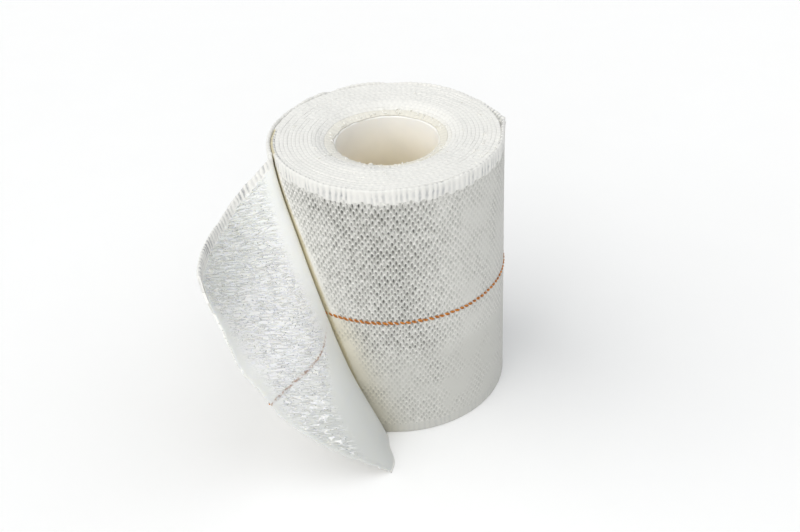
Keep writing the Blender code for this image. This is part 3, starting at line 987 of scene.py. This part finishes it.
def makeCore():
    # The wall's section, with rounded corners, is spun round the axis
    ease = core["rounding"]
    outer, inner = coreRadius - ease, coreRadius - core["wall"] + ease
    top, base = coreHigh.z - ease, coreLow.z + ease
    shape = bmesh.new()
    profile = []
    corners = ((outer, top, 0), (inner, top, 90), (inner, base, 180), (outer, base, 270))
    for cornerX, cornerZ, first in corners:
        for turn in (0, 30, 60, 90):
            bend = math.radians(first + turn)
            profile.append(shape.verts.new((axisX + cornerX + ease * math.cos(bend), axisY,
                                            cornerZ + ease * math.sin(bend))))
    edges = [shape.edges.new((profile[place - 1], profile[place])) for place in range(len(profile))]
    bmesh.ops.spin(shape, geom=profile + edges, cent=(axisX, axisY, 0), axis=(0, 0, 1),
                   angle=2 * math.pi, steps=core["steps"], use_merge=True)
    bmesh.ops.remove_doubles(shape, verts=shape.verts, dist=1e-6)
    bmesh.ops.recalc_face_normals(shape, faces=shape.faces)
    for face in shape.faces:
        face.smooth = True
    return showPiece("coreTube", toMesh("coreTube", shape), [coreMaterial])


print("Turning the core")
coreTube = makeCore()


def joinCopies(name, template, places, material):
    # One mesh of many copies of a small shape. Each place is a 4 x 4 matrix.
    points = np.zeros(len(template.vertices) * 3, np.float32)
    template.vertices.foreach_get("co", points)
    points = np.concatenate([points.reshape(-1, 3), np.ones((len(template.vertices), 1))], 1)
    faces = [list(face.vertices) for face in template.polygons]
    copies = np.concatenate([(points @ np.array(place).T)[:, :3] for place in places])
    allFaces = [[corner + len(points) * copy for corner in face]
                for copy in range(len(places)) for face in faces]
    mesh = bpy.data.meshes.new(name)
    mesh.from_pydata(copies.tolist(), [], allFaces)
    mesh.shade_smooth()
    return showPiece(name, mesh, [material])


def webFrame(along, across, lift, turn):
    # Axes at a place on the web: along it, turned by so many degrees, then off it
    step = 0.2 * mm
    points = webAt(np.array([along - step, along + step, along, along]),
                   np.array([across, across, across - step, across + step]), np.array([lift] * 4))
    onward = Vector(points[1] - points[0]).normalized()
    upward = Vector(points[3] - points[2])
    outward = onward.cross(upward).normalized()
    upward = outward.cross(onward)
    bend = math.radians(turn)
    first = onward * math.cos(bend) + upward * math.sin(bend)
    second = outward.cross(first)
    place = Vector(webAt(np.array(along), np.array(across), np.array(lift)))
    axes = Matrix((first, second, outward)).transposed().to_4x4()
    return Matrix.Translation(place) @ axes


# Loops of thread stand on the edges of the turns, most of them round the core and at the right rim
edgeLoops = {
    "span": 0.9 * mm,
    "thread": 0.26 * mm,           # drawn a little coarser than the real thread, so that it shows
    "sunk": (0.28 * mm, 0.46 * mm),          # how far their feet lie below the turns' edges
    "sizes": ((0.5, 1.3), (0.7, 1.1), (0.5, 1.05)),
    "patches": (                   # how many, at which angles in degrees, and how far from the axis in mm
        (70, (195, 345), (13.9, 17.5)),
        (34, (10, 100), (13.8, 16.0)),
        (26, (100, 190), (13.8, 15.2)),
        (46, (-35, 38), (24.5, 29.3)),
        (36, (-150, -30), (17.5, 29.0)),
        (26, (0, 360), (16.0, 29.0)),
    ),
}


def makeLoopTemplate(span, thread, sides, steps):
    # A rod is drawn out along Z and bent into half a ring over the edge
    shape = bmesh.new()
    bmesh.ops.create_cone(shape, cap_ends=True, segments=sides, radius1=thread / 2, radius2=thread / 2,
                          depth=1.0)
    long = [edge for edge in shape.edges if abs(edge.verts[0].co.z - edge.verts[1].co.z) > 0.5]
    bmesh.ops.subdivide_edges(shape, edges=long, cuts=steps - 1, use_grid_fill=True)
    for point in shape.verts:
        turn = point.co.z * math.pi
        radius = span / 2 + point.co.x
        point.co = Vector((radius * math.sin(turn), point.co.y, radius * math.cos(turn)))
    bmesh.ops.recalc_face_normals(shape, faces=shape.faces)
    return toMesh("loopTemplate", shape)


def makeEdgeLoops():
    template = makeLoopTemplate(edgeLoops["span"], edgeLoops["thread"], 5, 6)
    random = np.random.default_rng(71)
    places = []
    for count, angles, radii in edgeLoops["patches"]:
        for loop in range(count):
            angle = random.uniform(*angles)
            radius = random.uniform(*radii) * mm
            height = web["width"] - float(dishAt(radius)) - random.uniform(*edgeLoops["sunk"])
            place = Vector(aroundAxis(angle, radius, height))
            turn = Matrix.Rotation(math.radians(angle + random.uniform(-60, 60)), 4, "Z")
            lean = Matrix.Rotation(math.radians(random.uniform(-35, 35)), 4, "X")
            size = Matrix.Diagonal((*[random.uniform(*limits) for limits in edgeLoops["sizes"]], 1.0))
            places.append(Matrix.Translation(place) @ turn @ lean @ size)
    return joinCopies("edgeLoops", template, places, looseThreadMaterial)


# Broken fibres stand off the cut edge
cutLint = {
    "count": 46,
    "span": 1.1 * mm,
    "thread": 0.14 * mm,
    "sizes": ((0.4, 1.0), (0.6, 1.0), (0.3, 0.9)),
}


def makeCutLint():
    template = makeLoopTemplate(cutLint["span"], cutLint["thread"], 4, 5)
    random = np.random.default_rng(81)
    places = []
    for fibre in range(cutLint["count"]):
        across = random.uniform(2, 73) * mm
        along = web["looseLength"] - random.uniform(0.1, 0.5) * mm
        axes = webFrame(along, across, random.uniform(0.2, 0.6) * web["thickness"], random.uniform(-50, 50))
        lean = Matrix.Rotation(math.radians(90 + random.uniform(-35, 35)), 4, "X")
        size = Matrix.Diagonal((*[random.uniform(*limits) for limits in cutLint["sizes"]], 1.0))
        places.append(axes @ lean @ size)
    return joinCopies("cutLint", template, places, looseThreadMaterial)


print("Raising loose loops and lint")
edgeLoopPiece = makeEdgeLoops()
cutLintPiece = makeCutLint()

# The marking thread is sewn along the middle of the web, a slanting stitch at a time
markingThread = {
    "length": 1.72 * mm,
    "width": 0.66 * mm,
    "height": 0.44 * mm,
    "slant": -27.0,            # in degrees
    "droop": 0.16 * mm,        # its ends dip into the knit
    "swell": 0.25,             # its middle is this much wider
    "above": 0.13 * mm,        # its middle lies this far above the web
}


def makeMarkingThread():
    shape = bmesh.new()
    bmesh.ops.create_uvsphere(shape, u_segments=8, v_segments=7, radius=0.5)
    # The poles lie at the ends of the stitch, which sinks into the knit there
    bmesh.ops.rotate(shape, verts=shape.verts, cent=(0, 0, 0), matrix=Matrix.Rotation(math.pi / 2, 3, "Y"))
    size = [markingThread[side] for side in ("length", "width", "height")]
    bmesh.ops.scale(shape, verts=shape.verts, vec=size)
    for point in shape.verts:
        share = abs(point.co.x) / (markingThread["length"] / 2)
        point.co.z -= markingThread["droop"] * share**2
        point.co.y *= 1 + markingThread["swell"] * (1 - share)
    template = toMesh("threadStitch", shape)
    random = np.random.default_rng(61)
    places = []
    for stitch in range(web["firstStitch"] + 1, web["stitchesAlong"]):
        along = (stitch + 0.5 + random.uniform(-0.06, 0.06)) * stitchWidth
        across = web["threadAcross"] + random.uniform(-0.08, 0.08) * mm
        turn = markingThread["slant"] + random.uniform(-7, 7)
        scale = Matrix.Diagonal((random.uniform(0.9, 1.05), random.uniform(0.85, 1.1), 1.0, 1.0))
        places.append(webFrame(along, across, web["thickness"] + markingThread["above"], turn) @ scale)
    return joinCopies("centreThread", template, places, threadMaterial)


print("Sewing the marking thread")
centreThread = makeMarkingThread()

# Camera at the photograph's angle
camera = {
    "place": (0.00712, -0.23867736, 0.20280608),
    "aim": (0.00867816, 0.01041, 0.03397641),
    "lean": -3.0977,
    "lens": 49.5,
}


def makeCamera():
    data = bpy.data.cameras.new("studioCamera")
    data.lens = camera["lens"]
    data.sensor_width = 36
    item = bpy.data.objects.new("studioCamera", data)
    bpy.context.scene.collection.objects.link(item)
    away = Vector(camera["aim"]) - Vector(camera["place"])
    turned = away.to_track_quat("-Z", "Y") @ Quaternion((0, 0, 1), math.radians(camera["lean"]))
    item.matrix_world = Matrix.Translation(Vector(camera["place"])) @ turned.to_matrix().to_4x4()
    bpy.context.scene.camera = item


# Soft studio light on a pale floor
studio = {
    "floor": "#FFFFFF",
    "floorSize": 12.0,
    "grainSize": 25 * mm,
    "sky": "#F1F4F8",
    "skyStrength": 0.27,
    # Suns, each with its place round and above the roll and its spread in degrees
    "lamps": (
        {"name": "frontLamp", "turn": 263, "height": 30, "strength": 1.05, "spread": 60, "color": "#FFFEFB"},
        {"name": "leftLamp", "turn": 191, "height": 45, "strength": 1.62, "spread": 70, "color": "#FFFEFB"},
        {"name": "backLamp", "turn": 90, "height": 60, "strength": 0.10, "spread": 60, "color": "#FBFDFF"},
        {"name": "rightLamp", "turn": 345, "height": 60, "strength": 0.77, "spread": 60, "color": "#FBFDFF"},
    ),
}


def makeStudio():
    shape = bmesh.new()
    bmesh.ops.create_grid(shape, x_segments=1, y_segments=1, size=studio["floorSize"])
    material, add = newMaterial("paleStudioFloor", {"Roughness": 0.9, "Specular IOR Level": 0.1})
    place = add("TexCoord")["Object"]
    grain = add("TexNoise", {"Vector": place, "Scale": 1 / studio["grainSize"], "Detail": 2.0})[0]
    shade = add("MapRange", (grain, 0.0, 1.0, 0.985, 1.0))[0]
    color = add("Mix", {0: 1.0, 6: studio["floor"], 7: shade}, **tinting)[2]
    showPiece("studioFloor", toMesh("studioFloor", shape), [finishMaterial(material, color)])
    world = bpy.data.worlds.new("studioSky")
    world.use_nodes = True
    world.node_tree.nodes["Background"].inputs["Color"].default_value = linear(studio["sky"])
    world.node_tree.nodes["Background"].inputs["Strength"].default_value = studio["skyStrength"]
    bpy.context.scene.world = world
    for lamp in studio["lamps"]:
        data = bpy.data.lights.new(lamp["name"], "SUN")
        data.energy = lamp["strength"]
        data.angle = math.radians(lamp["spread"])
        data.color = linear(lamp["color"])[:3]
        item = bpy.data.objects.new(lamp["name"], data)
        bpy.context.scene.collection.objects.link(item)
        turn = math.radians(lamp["turn"])
        rise = math.radians(lamp["height"])
        toward = Vector((math.cos(turn) * math.cos(rise), math.sin(turn) * math.cos(rise), math.sin(rise)))
        facing = toward.to_track_quat("Z", "Y").to_matrix().to_4x4()
        item.matrix_world = Matrix.Translation(toward * 1.5) @ facing
    bpy.context.scene.view_settings.view_transform = "Standard"


makeCamera()
makeStudio()

# Every piece rides on the one body
for piece in (outerTurn, outerTurnBack, looseEnd, innerTurns, coreTube, centreThread, edgeLoopPiece,
              cutLintPiece):
    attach(piece, "root")
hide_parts("wound_roll")
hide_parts("wound_roll")
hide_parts("wound_roll")
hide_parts("loose_end")
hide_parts("core")
